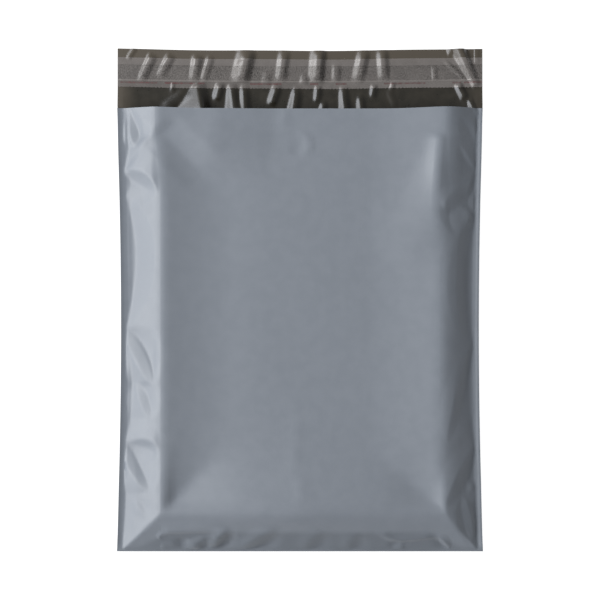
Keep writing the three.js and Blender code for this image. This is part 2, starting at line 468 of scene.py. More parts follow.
@dataclass(frozen=True)
class BagForm:
    """Where the film lies: the size comes from the frame, the rest is in millimetres.

    A pair of places is where a change starts and where it is complete, and a pair of roundings is
    for the left and right sides, as shares of the slope.
    """

    width: float
    length: float
    ridge_height: float
    flap: float = 36.0
    weld: float = 3.5
    slope: float = 25.0
    fold_lip: float = 1.0
    fold_curve: float = 1.04
    pull_in: float = 3.0
    ridge_shift: float = 5.0
    flare: float = 4.0
    flare_from: float = 60.0
    weld_height: float = 7.5
    weld_droop: float = 3.2
    weld_droop_length: float = 45.0
    weld_falls_from: float = 84.0
    flap_height: float = 0.3
    flap_lies_past: float = 16.0
    left_curl: float = 0.8
    right_curl: float = 0.52
    sag: float = 4.6
    mouth_sag: float = 4.8
    sag_changes_from: float = 30.0
    flat_half: float = 42.0
    slow_half: float = 70.0
    dish_length: float = 46.0
    left_droop: float = 1.2
    left_droops: Pair = (-20.0, -80.0)
    mouth_droop: float = 4.7
    mouth_droops: Pair = (78.0, 122.0)
    past_corners: Pair = (88.0, 58.0)
    puckers_start: Pair = (104.0, 120.0)
    drawn_back: Pair = (112.0, 136.0)
    corner_rounding: float = 0.05
    ridge_rounding: Pair = (0.2, 0.46)
    dish_rounding: Pair = (0.02, 0.07)
    valley_rounding: float = 0.08
    film: float = 0.12
    ply_gap: float = 0.3
    underneath: float = 0.05

    @property
    def half(self) -> float:
        """Half the width."""
        return self.width / 2

    @property
    def fold_y(self) -> float:
        """Where the bottom fold is."""
        return -self.length / 2

    @property
    def edge_y(self) -> float:
        """Where the flap ends."""
        return self.length / 2

    @property
    def mouth_y(self) -> float:
        """Where the front ends."""
        return self.edge_y - self.flap

    @property
    def pouch(self) -> float:
        """From the mouth to the bottom fold."""
        return self.mouth_y - self.fold_y

    def half_width(self, y: Numbers) -> Numbers:
        """Half the width at y: full at the fold and mouth, drawn in between them."""
        share = np.clip((y - self.fold_y) / self.pouch, 0.0, 1.0)
        return self.half - self.pull_in * np.sin(math.pi * share) ** 0.8

    def inside(self, y: Numbers) -> Numbers:
        """Distance from the centre line to the inside of the welds at y."""
        return self.half_width(y) - self.weld

    def near_mouth(self, y: Numbers) -> Numbers:
        """0 until the ridges start to run apart, and 1 at the mouth."""
        return ramp(y, self.flare_from, self.mouth_y)

    def ridge_x(self, y: Numbers) -> Numbers:
        """Distance from the centre line to the left ridge at y."""
        return self.half - self.weld - self.slope + self.flare * self.near_mouth(y)

    def own_ridge(self, x: Numbers, y: Numbers) -> Numbers:
        """Distance from the centre line to the ridge on the same side as x: right is further."""
        return self.ridge_x(y) + self.ridge_shift * (x > 0.0)

    def rightness(self, x: Numbers) -> Numbers:
        """0 on the left slope and 1 on the right one."""
        return ramp(x, -self.slow_half, self.slow_half)

    def weld_z(self, y: Numbers) -> Numbers:
        """Height of the welds: they droop at the fold, and come down to the surface past the mouth.

        Args:
            y: Places along the bag.

        Returns:
            The height at each place.
        """
        lowered = ramp(y, self.weld_falls_from, self.mouth_y + self.flap_lies_past)
        droop = ramp(y, self.fold_y + self.weld_droop_length, self.fold_y)
        return mix(self.weld_height - self.weld_droop * droop, self.flap_height, lowered)

    def rise(self, x: Numbers, y: Numbers) -> Numbers:
        """0 on the welds and the fold and 1 from the ridges inwards, crisper on the left.

        Args:
            x: Places across the bag.
            y: Places along the bag.

        Returns:
            The share of the way up at each place.
        """
        inside = self.inside(y)
        across = (inside - np.abs(x)) / (inside - self.own_ridge(x, y))
        along = np.clip((y - self.fold_y - self.fold_lip) / (self.slope - self.fold_lip), 0.0, 2.0)
        bent = 1.0 - np.abs(1.0 - np.minimum(along, 1.0)) ** self.fold_curve + np.maximum(along - 1.0, 0.0)
        along = mix(along, bent, ramp(np.abs(x), *self.past_corners))
        low = rounded_min(across, along, self.corner_rounding)
        return np.clip(rounded_min(low, 1.0, mix(*self.ridge_rounding, self.rightness(x))), 0.0, 1.0)

    def dish(self, x: Numbers, y: Numbers) -> Numbers:
        """How deep the front sags between its ridges, with creases in from the corners.

        Args:
            x: Places across the bag.
            y: Places along the bag.

        Returns:
            The depth at each place.
        """
        ridge = self.own_ridge(x, y)
        from_side = (ridge - np.abs(x)) / (ridge - self.flat_half)
        from_fold = (y - self.fold_y - self.slope + 1.0) / self.dish_length
        depth = mix(self.sag, self.mouth_sag, ramp(y, self.sag_changes_from, self.mouth_y))
        gentle = mix(*self.dish_rounding, self.rightness(x))
        from_side = np.sqrt(np.clip(from_side, 0.0, 1.0) ** 2 + gentle**2) - gentle
        nearest = rounded_min(from_side, np.clip(from_fold, 0.0, 1.0), self.valley_rounding)
        return depth * np.sin(np.clip(nearest, 0.0, 1.0) * math.pi / 2)

    def weld_curl(self, x: Numbers, y: Numbers) -> Numbers:
        """How far the trimmed edge of each weld turns up.

        Args:
            x: Places across the bag.
            y: Places along the bag.

        Returns:
            The lift at each place.
        """
        out = (np.abs(x) - self.half_width(y) + self.weld) / self.weld
        left = self.left_curl * np.clip(out, 0.0, 1.0) ** 1.6
        right = self.right_curl * np.clip(np.minimum((out - 0.42) / 0.3, (1.3 - out) / 0.5), 0.0, 1.0)
        return np.where(x < 0.0, left, right) * ramp(y - self.fold_y, 0.0, 6.0)

    def back(self, x: Numbers, y: Numbers) -> Numbers:
        """Height of the outside of the back wall and the flap.

        Args:
            x: Places across the bag.
            y: Places along the bag.

        Returns:
            The height at each place.
        """
        weld = self.weld_z(y)
        z = weld - self.ply_gap / 2 + (self.underneath - weld + self.ply_gap / 2) * self.rise(x, y)
        inner = ramp(self.inside(y) - np.abs(x), 3.0, 8.0)
        z = z + lifted(BACK_WALL, x, y) * ramp(y, 100.0, 90.0) * inner
        z = z + self.weld_curl(x, y) * ramp(self.mouth_y - y, 0.0, 20.0)
        flap = lifted(FLAP_FOLDS, x, y) + lifted(MOUTH_PUCKERS, x, y)
        return np.maximum(z + flap * ramp(y, *self.puckers_start), self.underneath)

    def front(self, x: Numbers, y: Numbers) -> Numbers:
        """Height of the outside of the front wall.

        Args:
            x: Places across the bag.
            y: Places along the bag.

        Returns:
            The height at each place.
        """
        weld = self.weld_z(y) + self.ply_gap / 2
        top = self.ridge_height - self.mouth_droop * ramp(y, *self.mouth_droops)
        top = top - self.left_droop * ramp(x, *self.left_droops) - self.dish(x, y)
        rise = self.rise(x, y)
        z = weld + (top - weld) * rise
        inwards = ramp(self.inside(y) - np.abs(x), -0.3, 0.9)
        from_fold = ramp(y - self.fold_y, 0.6, 2.2)
        outwards = ramp(np.abs(x) - self.ridge_x(y), -1.5, 5.5)
        folds = lifted(LEFT_SIDE, x, y) * outwards + lifted(RIGHT_SIDE + FRONT_MIDDLE + BOTTOM_SLOPE, x, y)
        z = z + folds * inwards * from_fold + self.weld_curl(x, y)
        within = np.minimum(self.own_ridge(x, y) - np.abs(x), y - self.fold_y - self.slope)
        z = z + lifted(CORNERS, x, y) * ramp(within, 0.0, 9.0)
        return self.above_back(z + self.swell(x, y) * rise, x, y)

    def above_back(self, z: Numbers, x: Numbers, y: Numbers) -> Numbers:
        """Keeps the front above the back: just on it at the welds and fold, and clear of it inside.

        Args:
            z: The front's heights.
            x: Places across the bag.
            y: Places along the bag.

        Returns:
            The height at each place.
        """
        plies = self.back(x, y) + self.ply_gap
        lying = np.maximum(z, plies)
        clear = -rounded_min(-z, -plies - 0.3, 1.2)
        inner = ramp(self.inside(y) - np.abs(x), 0.0, 2.0) * ramp(y - self.fold_y, 1.0, 3.0)
        return mix(lying, np.maximum(clear, plies), inner)

    def drawn(self, x: Numbers, y: Numbers) -> Numbers:
        """How far the folds across the flap draw it back, most of all in the middle.

        Args:
            x: Places across the bag.
            y: Places along the bag.

        Returns:
            The distance at each place.
        """
        bend = np.cos(np.clip(x / self.half, -1.0, 1.0) * math.pi / 2)
        return (DRAWN_BACK * bend + 0.15 * np.sin(x / 14.0)) * ramp(y, *self.drawn_back)

    def swell(self, x: Numbers, y: Numbers) -> Numbers:
        """Slow, shallow unevenness of the whole front.

        Args:
            x: Places across the bag.
            y: Places along the bag.

        Returns:
            The lift at each place.
        """
        waves = np.sin(x / 19.0 + 0.8) * np.sin(y / 31.0 + 0.4) + 0.6 * np.sin(x / 11.0 + y / 17.0)
        return 0.07 * waves


# ---- finishes ----


@dataclass
class Nodes:
    """Adds nodes to one node tree and links them."""

    tree: bpy.types.NodeTree

    def feed(self, socket: Socket, value: object) -> None:
        """Links an output to an input, or sets the input to a constant.

        Args:
            socket: The input.
            value: An output, a number, a vector, or a colour without its alpha.
        """
        if isinstance(value, Socket):
            self.tree.links.new(value, socket)
        else:
            socket.default_value = (*value, 1.0) if socket.type == "RGBA" else value

    def add(self, kind: str, inputs: Inputs | None = None, **settings: object) -> bpy.types.Node:
        """Adds one node.

        Args:
            kind: The node type's name.
            inputs: What feeds each input, by name or number.
            **settings: The node's own properties.

        Returns:
            The new node.
        """
        node = self.tree.nodes.new(kind)
        node.location = (220 * len(self.tree.nodes), 0)
        for name, value in settings.items():
            setattr(node, name, value)
        for name, value in (inputs or {}).items():
            self.feed(node.inputs[name], value)
        return node

    def math(self, operation: str, first: object, second: object = 0.0) -> Socket:
        """Works out one sum."""
        return self.add("ShaderNodeMath", {0: first, 1: second}, operation=operation).outputs[0]

    def span(self, value: Socket, low: float, high: float, to_low: float, to_high: float) -> Socket:
        """Maps low..high on to to_low..to_high, smoothly.

        Args:
            value: What is mapped.
            low: Start of the range.
            high: End of the range.
            to_low: Result at low.
            to_high: Result at high.

        Returns:
            The mapped value.
        """
        inputs = {0: value, 1: low, 2: high, 3: to_low, 4: to_high}
        return self.add("ShaderNodeMapRange", inputs, interpolation_type="SMOOTHSTEP").outputs[0]

    def blend(self, share: Socket, first: object, second: object) -> Socket:
        """Mixes two colours, the second where the share is 1."""
        return self.add("ShaderNodeMix", {0: share, 6: first, 7: second}, data_type="RGBA").outputs[2]

    def between(self, share: Socket, first: object, second: object) -> Socket:
        """Mixes two values, the second where the share is 1."""
        return self.add("ShaderNodeMix", {0: share, 2: first, 3: second}, data_type="FLOAT").outputs[0]

    def attribute(self, name: str) -> Socket:
        """Reads one of the mesh's own attributes."""
        return self.add("ShaderNodeAttribute", attribute_name=name).outputs["Fac"]

    def noise(self, place: Socket, scale: float, detail: float, roughness: float = 0.5) -> Socket:
        """Adds noise.

        Args:
            place: Where it is looked up.
            scale: Blotches to the metre.
            detail: How many finer layers it has.
            roughness: How strong those are.

        Returns:
            The noise, about 0.3 to 0.7.
        """
        inputs = {"Vector": place, "Scale": scale, "Detail": detail, "Roughness": roughness}
        return self.add("ShaderNodeTexNoise", inputs).outputs[0]


@dataclass
class Surface:
    """A new material: one shader, and the nodes that feed it."""

    name: str

    def __post_init__(self) -> None:
        """Makes the material, its shader and its object coordinates."""
        self.material = bpy.data.materials.new(self.name)
        self.material.use_nodes = True
        self.nodes = Nodes(self.material.node_tree)
        self.shader = self.material.node_tree.nodes["Principled BSDF"]
        self.place = self.nodes.add("ShaderNodeTexCoord").outputs["Object"]

    def feed(self, name: str, value: object) -> None:
        """Feeds one of the shader's inputs."""
        self.nodes.feed(self.shader.inputs[name], value)

    def grain(self, film_grain: bpy.types.NodeTree, lines: float) -> bpy.types.Node:
        """Places the shared film surface, with its lines this strong."""
        inputs = {"Vector": self.place, "Lines": lines}
        return self.nodes.add("ShaderNodeGroup", inputs, node_tree=film_grain)

    def bump(self, strength: float, height: Socket) -> None:
        """Makes the surface uneven.

        Args:
            strength: How strongly.
            height: Its height, in tenths of a millimetre.
        """
        inputs = {"Strength": strength, "Distance": MM / 10, "Height": height}
        self.feed("Normal", self.nodes.add("ShaderNodeBump", inputs).outputs[0])


@dataclass(frozen=True)
class FilmGrain:
    """Blown film's own surface: fine lines along its length, soft mottling and tiny dimples."""

    lines_per_metre: float = 900.0
    line_stretch: float = 0.02
    mottle_per_metre: float = 130.0
    dimples_per_metre: float = 1100.0

    def build(self) -> bpy.types.NodeTree:
        """Makes the node group.

        Returns:
            A group that takes Vector and Lines, and gives Height and Mottle.
        """
        tree = bpy.data.node_groups.new("film_grain", "ShaderNodeTree")
        for name, way, kind in (
            ("Vector", "INPUT", "NodeSocketVector"),
            ("Lines", "INPUT", "NodeSocketFloat"),
            ("Height", "OUTPUT", "NodeSocketFloat"),
            ("Mottle", "OUTPUT", "NodeSocketFloat"),
        ):
            tree.interface.new_socket(name, in_out=way, socket_type=kind)
        nodes = Nodes(tree)
        entry = nodes.add("NodeGroupInput").outputs
        squeeze = {"Vector": entry["Vector"], "Scale": (1.0, self.line_stretch, 1.0)}
        stretched = nodes.add("ShaderNodeMapping", squeeze).outputs[0]
        lines = nodes.noise(stretched, self.lines_per_metre, 3.0)
        dimples = nodes.noise(entry["Vector"], self.dimples_per_metre, 2.0)
        mottle = nodes.noise(entry["Vector"], self.mottle_per_metre, 5.0, 0.6)
        height = nodes.math("ADD", nodes.math("MULTIPLY", lines, entry["Lines"]), dimples)
        nodes.add("NodeGroupOutput", {"Height": height, "Mottle": nodes.span(mottle, 0.3, 0.7, 0.0, 1.0)})
        return tree


@dataclass(frozen=True)
class GreyFilm:
    """The outside of the film: satin grey with a slight blue cast, with painted shade on the lip by the
    bottom fold and a painted highlight along the mouth's cut edge.
    """

    dark: Colour = (0.186, 0.208, 0.241)
    light: Colour = (0.194, 0.216, 0.250)
    # Painted highlight: the lighter colour of the front's cut edge at the mouth.
    mouth_highlight: Colour = (0.42, 0.44, 0.47)
    # Painted shade: the darker colour of the lip by the bottom fold.
    lip_shade: Colour = (0.14, 0.158, 0.184)
    roughness: Pair = (0.42, 0.48)
    lines: float = 0.6
    grain: float = 0.12

    def build(self, film_grain: bpy.types.NodeTree) -> bpy.types.Material:
        """Makes the material.

        Args:
            film_grain: The shared film surface.

        Returns:
            The finished material.
        """
        surface = Surface("grey_film")
        nodes = surface.nodes
        grain = surface.grain(film_grain, self.lines).outputs
        colour = nodes.blend(grain["Mottle"], self.dark, self.light)
        # Painted highlight: a lighter line along the front's cut edge at the mouth.
        colour = nodes.blend(nodes.attribute("painted_mouth_highlight"), colour, self.mouth_highlight)
        # Painted shade: darker on the lip by the bottom fold.
        colour = nodes.blend(nodes.attribute("painted_lip_shade"), colour, self.lip_shade)
        surface.feed("Base Color", colour)
        surface.feed("Roughness", nodes.span(grain["Mottle"], 0.0, 1.0, *self.roughness))
        surface.bump(self.grain, grain["Height"])
        return surface.material


@dataclass(frozen=True)
class DarkLining:
    """The inside of the film: glossy black-brown, paler brown towards its free edges, and painted lighter
    on the left, the lamp's side.
    """

    black: Colour = (0.021, 0.019, 0.014)
    brown: Colour = (0.03, 0.026, 0.019)
    haze_and_lamp_light: Colour = (0.084, 0.071, 0.054)
    roughness: Pair = (0.27, 0.32)
    hazed_roughness: float = 0.36
    sheen: float = 0.6
    sheen_tint: Colour = (0.9, 0.93, 1.0)
    lines: float = 0.4
    grain: float = 0.007

    def build(self, film_grain: bpy.types.NodeTree) -> bpy.types.Material:
        """Makes the material.

        Args:
            film_grain: The shared film surface.

        Returns:
            The finished material.
        """
        surface = Surface("dark_lining")
        nodes = surface.nodes
        grain = surface.grain(film_grain, self.lines).outputs
        # Paler band towards the free edges, painted lighter on the left, the lamp's side.
        haze_and_lamp_light = nodes.attribute("haze_and_lamp_light")
        colour = nodes.blend(grain["Mottle"], self.black, self.brown)
        surface.feed("Base Color", nodes.blend(haze_and_lamp_light, colour, self.haze_and_lamp_light))
        rough = nodes.span(grain["Mottle"], 0.0, 1.0, *self.roughness)
        surface.feed("Roughness", nodes.between(haze_and_lamp_light, rough, self.hazed_roughness))
        surface.feed("Specular IOR Level", self.sheen)
        surface.feed("Specular Tint", self.sheen_tint)
        surface.bump(self.grain, grain["Height"])
        return surface.material


@dataclass(frozen=True)
class HotMelt:
    """The glue band: a thin, grainy, grey-brown coat."""

    low: Colour = (0.03, 0.028, 0.025)
    high: Colour = (0.095, 0.087, 0.081)
    grains_per_metre: float = 1500.0
    patches_per_metre: float = 90.0
    roughness: float = 0.45
    grain: float = 0.5

    def build(self) -> bpy.types.Material:
        """Makes the material.

        Returns:
            The finished material.
        """
        surface = Surface("hot_melt_glue")
        nodes = surface.nodes
        grains = nodes.noise(surface.place, self.grains_per_metre, 2.0)
        patches = nodes.noise(surface.place, self.patches_per_metre, 4.0)
        share = nodes.span(nodes.math("MULTIPLY", grains, patches), 0.12, 0.42, 0.0, 1.0)
        surface.feed("Base Color", nodes.blend(share, self.low, self.high))
        surface.feed("Roughness", self.roughness)
        surface.bump(self.grain, grains)
        return surface.material


@dataclass(frozen=True)
class ClearLiner:
    """The peel-off liner: clear, slightly milky, glossy film with a broken red line near one edge.

    The glue under it wets it out, so it is clearer and duller there. Millimetres for the places.
    Each dash of the line runs from one place across the bag to another, with its own strength.
    """

    milk: Colour = (0.245, 0.225, 0.216)
    red: Colour = (0.13, 0.03, 0.034)
    milkiness: Pair = (0.4, 0.48)
    milkiness_on_glue: Pair = (0.02, 0.42)
    roughness: float = 0.33
    roughness_on_glue: Pair = (0.32, 0.52)
    gloss: float = 1.0
    grain: float = 0.3
    specks_per_metre: float = 1600.0
    glue_from: float = 138.5
    glue_to: float = 147.5
    half: float = 114.5
    line_y: float = 136.5
    line_half: float = 0.75
    dashes: tuple[tuple[float, float, float], ...] = (
        (-113.0, -90.0, 0.75),
        (-85.0, -66.5, 0.85),
        (-64.5, -60.0, 0.8),
        (-31.5, -12.0, 0.8),
        (5.5, 11.5, 0.7),
        (22.0, 29.5, 0.75),
        (52.0, 78.5, 0.65),
        (95.5, 101.0, 0.6),
        (102.5, 114.5, 0.75),
    )

    def build(self, film_grain: bpy.types.NodeTree) -> bpy.types.Material:
        """Makes the material.

        Args:
            film_grain: The shared film surface.

        Returns:
            The finished material.
        """
        surface = Surface("clear_liner")
        nodes = surface.nodes
        grain = surface.grain(film_grain, 0.3).outputs
        across, along = self.where(nodes, surface.place)
        glued = nodes.math(
            "MULTIPLY",
            nodes.span(along, self.glue_from - 0.2, self.glue_from + 0.2, 0.0, 1.0),
            nodes.span(along, self.glue_to - 0.2, self.glue_to + 0.2, 1.0, 0.0),
        )
        specks = nodes.noise(surface.place, self.specks_per_metre, 2.0)
        milky = self.margin(nodes, grain["Mottle"], across, along)
        milky = nodes.between(glued, milky, nodes.span(specks, 0.34, 0.66, *self.milkiness_on_glue))
        milky = self.glue_edges(nodes, milky, along)
        red = self.red_line(nodes, surface.place, across, along)
        surface.feed("Base Color", nodes.blend(red, self.milk, self.red))
        surface.feed("Alpha", nodes.math("MAXIMUM", milky, nodes.math("MULTIPLY", red, 0.8)))
        dull = nodes.span(specks, 0.35, 0.65, *self.roughness_on_glue)
        surface.feed("Roughness", nodes.between(glued, self.roughness, dull))
        surface.feed("Specular IOR Level", self.gloss)
        pebbled = nodes.math("MULTIPLY", specks, nodes.math("MULTIPLY", glued, 0.7))
        surface.bump(self.grain, nodes.math("ADD", nodes.math("MULTIPLY", grain["Height"], 0.012), pebbled))
        return surface.material

    def where(self, nodes: Nodes, place: Socket) -> tuple[Socket, Socket]:
        """Places on the flap as if its folds had not drawn it back.

        Args:
            nodes: The material's nodes.
            place: Object coordinates.

        Returns:
            Millimetres across the bag and along it.
        """
        split = nodes.add("ShaderNodeSeparateXYZ", {"Vector": place})
        across = nodes.math("MULTIPLY", split.outputs["X"], 1.0 / MM)
        along = nodes.math("MULTIPLY", split.outputs["Y"], 1.0 / MM)
        bend = nodes.math("COSINE", nodes.math("MULTIPLY", across, math.pi / 2 / self.half))
        return across, nodes.math("ADD", along, nodes.math("MULTIPLY", bend, DRAWN_BACK))

    def margin(self, nodes: Nodes, mottle: Socket, across: Socket, along: Socket) -> Socket:
        """How milky the film is off the glue: clearest below it on the left, painted darker there as shade.

        Args:
            nodes: The material's nodes.
            mottle: The film's soft mottling.
            across: Millimetres across the bag.
            along: Millimetres along the bag.

        Returns:
            The share of the light that the milk takes up.
        """
        below = nodes.span(along, self.glue_from - 1.5, self.glue_from - 0.2, 1.0, 0.0)
        # Painted shade: less milky, so darker, below the glue on the left.
        painted_left_shade = nodes.math("MULTIPLY", below, nodes.span(across, -30.0, 70.0, 0.12, 0.0))
        return nodes.math("SUBTRACT", nodes.span(mottle, 0.0, 1.0, *self.milkiness), painted_left_shade)

    def glue_edges(self, nodes: Nodes, milky: Socket, along: Socket) -> Socket:
        """A milkier line along the glue's lower edge, painted as the highlight of the crease there, and a
        clearer one along its upper edge.

        Args:
            nodes: The material's nodes.
            milky: How milky the film is without them.
            along: Millimetres along the bag.

        Returns:
            How milky the film is with them.
        """
        # Painted highlight: a lighter line along the crease at the glue's lower edge.
        glue_edge_highlight = nodes.math("MULTIPLY", self.band(nodes, along, self.glue_from - 0.5, 0.5), 0.16)
        thin = nodes.math("MULTIPLY", self.band(nodes, along, self.glue_to, 0.4), 0.09)
        return nodes.math("SUBTRACT", nodes.math("ADD", milky, glue_edge_highlight), thin)

    def band(self, nodes: Nodes, along: Socket, middle: float, half: float) -> Socket:
        """The mask of a soft band right across the flap.

        Args:
            nodes: The material's nodes.
            along: Millimetres along the bag.
            middle: Where the band is.
            half: Half its width.

        Returns:
            1 in the middle of the band and 0 outside it.
        """
        off = nodes.math("ABSOLUTE", nodes.math("SUBTRACT", along, middle))
        return nodes.span(off, half * 0.4, half, 1.0, 0.0)

    def red_line(self, nodes: Nodes, place: Socket, across: Socket, along: Socket) -> Socket:
        """The mask of the broken line.

        Args:
            nodes: The material's nodes.
            place: Object coordinates.
            across: Millimetres across the bag.
            along: Millimetres along the bag.

        Returns:
            How strongly the line is printed.
        """
        ends = {0: across, 1: -self.half, 2: self.half, 3: 0.0, 4: 1.0}
        ramp = nodes.add("ShaderNodeValToRGB", {"Fac": nodes.add("ShaderNodeMapRange", ends).outputs[0]})
        ramp.color_ramp.interpolation = "CONSTANT"
        stops = ramp.color_ramp.elements
        stops[0].color = (0.0, 0.0, 0.0, 1.0)
        stops.remove(stops[1])
        for low, high, strength in self.dashes:
            for edge, shade in ((low, strength), (high, 0.0)):
                stops.new((edge + self.half) / self.half / 2).color = (shade, shade, shade, 1.0)
        rubbed = nodes.span(nodes.noise(place, 700.0, 2.0), 0.36, 0.6, 0.45, 1.0)
        band = self.band(nodes, along, self.line_y, self.line_half)
        return nodes.math("MULTIPLY", nodes.math("MULTIPLY", band, ramp.outputs[0]), rubbed)


# ---- pieces ----


def unit_grid(columns: int, rows: int) -> bmesh.types.BMesh:
    """A flat grid from (0, 0) to (1, 1).

    Args:
        columns: Cells across.
        rows: Cells along.

    Returns:
        The grid.
    """
    bm = bmesh.new()
    bmesh.ops.create_grid(bm, x_segments=columns, y_segments=rows, size=0.5)
    bmesh.ops.translate(bm, verts=bm.verts, vec=(0.5, 0.5, 0.0))
    return bm


def places(bm: bmesh.types.BMesh) -> Numbers:
    """Every vertex's place, one row each."""
    return np.array([vertex.co for vertex in bm.verts], float).reshape(-1, 3)


def put(bm: bmesh.types.BMesh, x: Numbers, y: Numbers, z: Numbers) -> None:
    """Moves every vertex to its place.

    Args:
        bm: The mesh.
        x: Places across, in millimetres.
        y: Places along, in millimetres.
        z: Heights, in millimetres.
    """
    for vertex, place in zip(bm.verts, np.column_stack((x, y, z)) * MM):
        vertex.co = place


def finished(
    name: str,
    bm: bmesh.types.BMesh,
    materials: list[bpy.types.Material],
    thickness: float,
    node: str,
) -> bpy.types.Object:
    """Gives a sheet its thickness and finish, and lets it stand for its node.

    Args:
        name: The piece's name.
        bm: The sheet, its faces turned outwards.
        materials: Outside, and inside where that differs.
        thickness: In millimetres, grown inwards.
        node: The node that it stands for.

    Returns:
        The finished piece.
    """
    mesh = bpy.data.meshes.new(name)
    bm.to_mesh(mesh)
    bm.free()
    piece = bpy.data.objects.new(name, mesh)
    bpy.context.scene.collection.objects.link(piece)
    for material in materials:
        mesh.materials.append(material)
    walls = piece.modifiers.new("walls", "SOLIDIFY")
    walls.thickness = thickness * MM
    walls.offset = -1.0
    walls.material_offset = len(materials) - 1
    graph = bpy.context.evaluated_depsgraph_get()
    solid = bpy.data.meshes.new_from_object(piece.evaluated_get(graph), depsgraph=graph)
    piece.modifiers.clear()
    piece.data = solid
    solid.name = name
    bpy.data.meshes.remove(mesh)
    solid.shade_smooth()
    solid.set_sharp_from_angle(angle=SHARP_ANGLE)
    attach(piece, "root")
    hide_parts(node)
    LOG.info("%s: %d faces", name, len(solid.polygons))
    return piece


@dataclass
class FilmBag:
    """The one film: front, back and flap."""

    form: BagForm
    middle_columns: int = 32
    slope_columns: int = 31
    weld_columns: int = 4
    front_rows: int = 164
    lip_rows: int = 20
    lip_length: float = 13.0
    back_rows: int = 48
    flap_rows: int = 38
    flap_from: float = 110.0
    hangs_back: float = 1.6
    middle_hangs_back: float = 0.9
    lip_shade_width: float = 14.0

    def stations(self) -> tuple[Numbers, Numbers]:
        """The grid's rows along the strip.

        Returns:
            Each row's share of the grid, and its distance from the mouth along the strip.
        """
        pouch = self.form.pouch
        turn = self.form.ply_gap
        lip = pouch - self.lip_length
        lip_rows = np.linspace(lip, pouch - turn, self.lip_rows + 1)[1:]
        front = np.concatenate(([0.0], np.linspace(0.35, lip, self.front_rows), lip_rows))
        back_end = pouch + self.flap_from - self.form.fold_y
        back = np.linspace(pouch + turn, back_end, self.back_rows)
        flap = np.linspace(back_end, pouch + self.form.length, self.flap_rows + 1)[1:]
        distance = np.concatenate((front, [pouch], back, flap))
        return np.linspace(0.0, 1.0, len(distance)), distance

    def columns(self) -> tuple[Numbers, Numbers]:
        """The grid's columns.

        Returns:
            Each column's share of the grid, and its line: 0 to 1 from the centre to the ridge,
            to 2 at the weld and 3 at its edge, negative on the left.
        """
        right = np.concatenate(
            (
                np.linspace(0.0, 1.0, self.middle_columns + 1)[1:],
                1.0 + np.linspace(0.0, 1.0, self.slope_columns + 1)[1:],
                2.0 + np.linspace(0.0, 1.0, self.weld_columns + 1)[1:],
            )
        )
        lines = np.concatenate((-right[::-1], [0.0], right))
        return np.linspace(0.0, 1.0, len(lines)), lines

    def across(self, line: Numbers, y: Numbers) -> Numbers:
        """Where a column's line stands at y.

        Args:
            line: The column's line, from columns().
            y: Places along the bag.

        Returns:
            The places across the bag.
        """
        ridge = self.form.ridge_x(y)
        edge = self.form.half_width(y)
        inside = edge - self.form.weld
        part = np.abs(line)
        x = np.where(part < 1.0, ridge * part, mix(ridge, inside, part - 1.0))
        return np.sign(line) * np.where(part > 2.0, mix(inside, edge, part - 2.0), x)

    def strip(self) -> bmesh.types.BMesh:
        """The strip's grid, flat, with three times the columns in the flap.

        Returns:
            The grid.
        """
        shares, distance = self.stations()
        column_shares, _ = self.columns()
        bm = unit_grid(len(column_shares) - 1, len(shares) - 1)
        flap_from = self.form.pouch + self.flap_from - self.form.fold_y
        start = float(np.interp(flap_from, distance, shares)) - 1e-5
        rungs = [
            edge
            for edge in bm.edges
            if all(vertex.co.y > start for vertex in edge.verts)
            and abs(edge.verts[0].co.y - edge.verts[1].co.y) < 1e-6
        ]
        bmesh.ops.subdivide_edges(bm, edges=rungs, cuts=2, use_grid_fill=True, use_single_edge=True)
        return bm

    def build(self, outside: bpy.types.Material, inside: bpy.types.Material) -> bpy.types.Object:
        """Folds the strip, welds its sides and opens its mouth.

        Args:
            outside: The grey finish.
            inside: The dark finish.

        Returns:
            The bag.
        """
        form = self.form
        bm = self.strip()
        flat = places(bm)
        shares, distance = self.stations()
        column_shares, lines = self.columns()
        run = np.interp(flat[:, 1], shares, distance)
        line = np.interp(flat[:, 0], column_shares, lines)
        on_front = run < form.pouch - 1e-6
        y = np.where(on_front, form.mouth_y - run, form.fold_y + run - form.pouch)
        on_fold = np.abs(run - form.pouch) < 1e-6
        y = np.where(on_fold, form.fold_y, y)
        x = self.across(line, y)
        y = np.where(on_front, self.mouth(x, y), y)
        z = np.where(on_front, form.front(x, y), form.back(x, y))
        z = np.where(on_fold, form.weld_z(y), z)
        y = np.where(on_front, y, y - form.drawn(x, y))
        put(bm, x, y, z)
        bmesh.ops.reverse_faces(bm, faces=bm.faces)
        self.mark(bm, x, y, on_front)
        bag = finished("mailer_film", bm, [outside, inside], form.film, "film_bag")
        return bag

    def mouth(self, x: Numbers, y: Numbers) -> Numbers:
        """The front's edge hangs back from the flap, most of all where the mouth sags.

        Args:
            x: Places across the bag.
            y: Places along the bag.

        Returns:
            The new places along the bag.
        """
        middle = ramp(self.form.ridge_x(y) - np.abs(x), -6.0, 34.0)
        return y - (self.hangs_back + self.middle_hangs_back * middle) * self.form.near_mouth(y)

    def mark(self, bm: bmesh.types.BMesh, x: Numbers, y: Numbers, on_front: NDArray[np.bool_]) -> None:
        """Notes where the lining is paler and painted lighter on the lamp's side, where the mouth's edge
        gets a painted highlight, and where the lip by the fold gets painted shade.

        Args:
            bm: The bag's mesh.
            x: Each vertex's place across.
            y: Each vertex's place along.
            on_front: Which vertices are on the front.
        """
        form = self.form
        haze_and_lamp_light = bm.verts.layers.float.new("haze_and_lamp_light")
        mouth_highlight_layer = bm.verts.layers.float.new("painted_mouth_highlight")
        lip = bm.verts.layers.float.new("painted_lip_shade")
